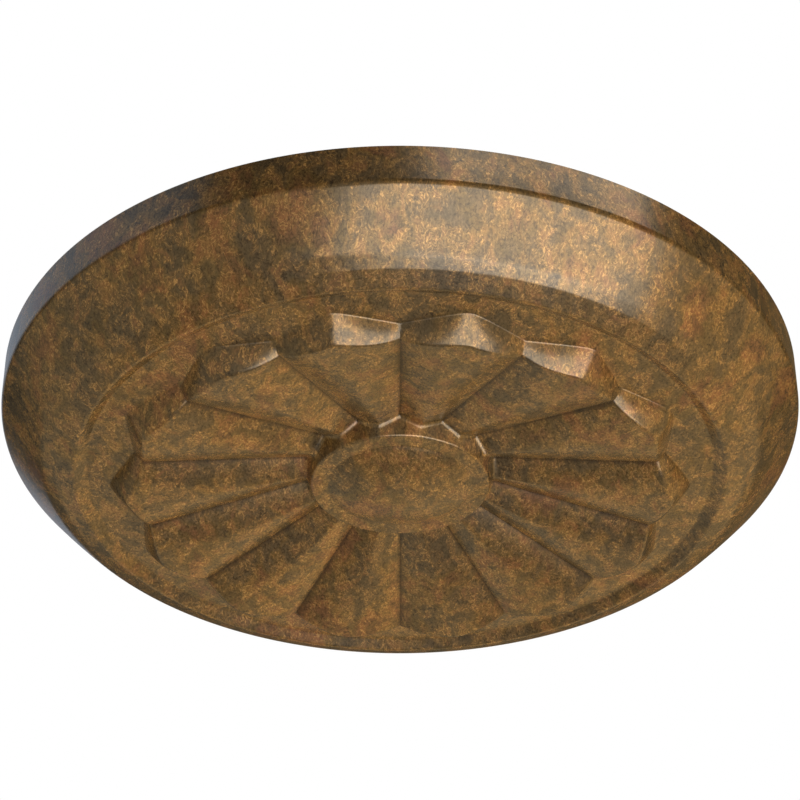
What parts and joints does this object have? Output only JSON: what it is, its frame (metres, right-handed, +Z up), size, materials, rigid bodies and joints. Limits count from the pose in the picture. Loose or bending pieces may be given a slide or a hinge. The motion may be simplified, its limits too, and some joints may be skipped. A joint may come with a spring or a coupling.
{
  "type": "ceiling medallion",
  "caption": "Round ceiling medallion with a stepped rim, a ring of fluted petals ending in points, and a domed boss at the centre.",
  "frame": {"origin": "centre of the flat back, where it meets the ceiling", "axes": "+Z up, out of the back towards the ceiling; the carved face looks down along -Z; a groove between two petals faces -Y"},
  "size_m": [0.406, 0.406, 0.0617],
  "materials": {
    "faux_bronze": "hand-painted rubbed bronze, brown mottled with ochre and grey-green, satin"
  },
  "bodies": {
    "root": {"medallion": "faux_bronze"}
  },
  "joints": []
}
